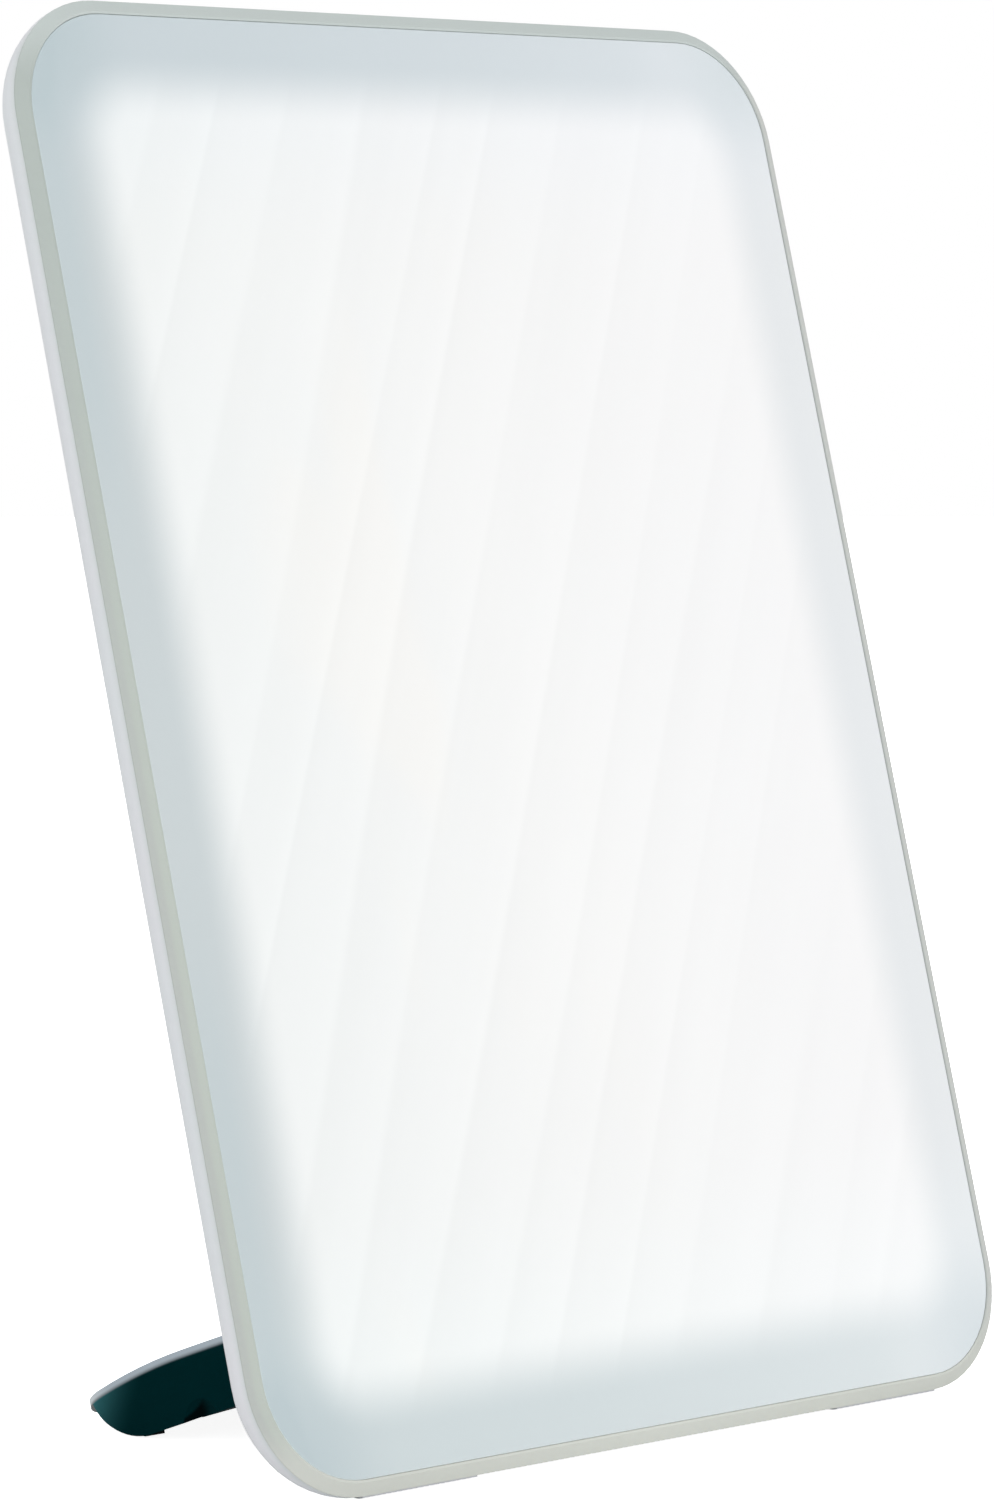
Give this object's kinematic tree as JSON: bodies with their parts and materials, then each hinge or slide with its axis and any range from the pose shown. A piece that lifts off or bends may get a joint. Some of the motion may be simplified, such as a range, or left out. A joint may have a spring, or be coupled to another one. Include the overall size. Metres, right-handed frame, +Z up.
{
  "type": "light therapy lamp",
  "caption": "Slim portrait light therapy panel with a frosted diffuser and a narrow bezel, leaning back on a fold-out arched stand.",
  "frame": {"origin": "on the table, at the middle of the lamp's footprint box", "axes": "+Z up, -Y the way the light faces, +X to the right of someone facing the light; the panel leans back towards +Y"},
  "size_m": [0.21, 0.099, 0.2843],
  "materials": {
    "bezel": "fine satin, pale warm grey-green",
    "diffuser": "frosted opal sheet",
    "tape": "matt double-sided tape",
    "film": "matt diffusing film",
    "white_frame": "matt white",
    "steel_screws": "zinc plated",
    "guide": "clear polished acrylic",
    "reflector": "bright white film",
    "aluminium_sheet": "mill finish",
    "white_board": "white solder mask",
    "led_emitter": "clear resin over phosphor",
    "housing": "fine satin, pale lavender-grey",
    "pale_pad": "matt pale grey silicone",
    "rubber_pad": "matt",
    "green_board": "solder mask",
    "ferrite": "matt ferrite",
    "capacitor_can": "smooth can",
    "chip_body": "moulded epoxy",
    "connector_body": "ivory nylon",
    "socket_body": "matt black nylon",
    "contact_metal": "plated",
    "switch_case": "matt",
    "switch_stem": "smooth",
    "button_cap": "satin dark teal",
    "hinge_steel": "dark powder coat",
    "spring_steel": "blued spring strip",
    "black_screws": "black plated",
    "stand_body": "satin dark teal",
    "stand_lid": "satin, pale grey",
    "pin_steel": "ground steel"
  },
  "bodies": {
    "panel": {"bezel_frame": "bezel", "diffuser_panel": "diffuser", "diffuser_tape": "tape", "diffusing_film": "film", "inner_frame": "white_frame", "frame_screws": "steel_screws", "light_guide": "guide", "reflector_film": "reflector", "back_plate": "aluminium_sheet", "led_strip_left": "white_board", "led_strip_right": "white_board", "leds_left": "led_emitter", "leds_right": "led_emitter", "rear_shell": "housing", "base_feet": "pale_pad", "driver_board": "green_board", "board_screws": "steel_screws", "inductor": "ferrite", "capacitors": "capacitor_can", "driver_chip": "chip_body", "led_connectors": "connector_body", "dc_inlet": "socket_body", "dc_inlet_pin": "contact_metal", "switch_body": "switch_case", "hinge_bracket_left": "hinge_steel", "hinge_bracket_right": "hinge_steel", "friction_clip_left": "spring_steel", "friction_clip_right": "spring_steel", "hinge_screws": "black_screws"},
    "stand": {"stand_shell": "stand_body", "stand_cover": "stand_lid", "cover_screws": "black_screws", "toe_pads": "rubber_pad", "hinge_pin": "pin_steel"},
    "power_button": {"power_button": "button_cap", "switch_plunger": "switch_stem"}
  },
  "joints": [
    {"name": "stand_fold", "type": "hinge", "parent": "panel", "child": "stand", "pos_m": [0, -0.02311, 0.02554], "axis": [1, 0, 0], "range_deg": [0, 94.37]},
    {"name": "power_button_press", "type": "slide", "parent": "panel", "child": "power_button", "axis": [0, -0.9646, 0.2635], "range_m": [0, 0.0005], "stiffness_N_per_m": 3000, "springref_m": -0.0004}
  ]
}
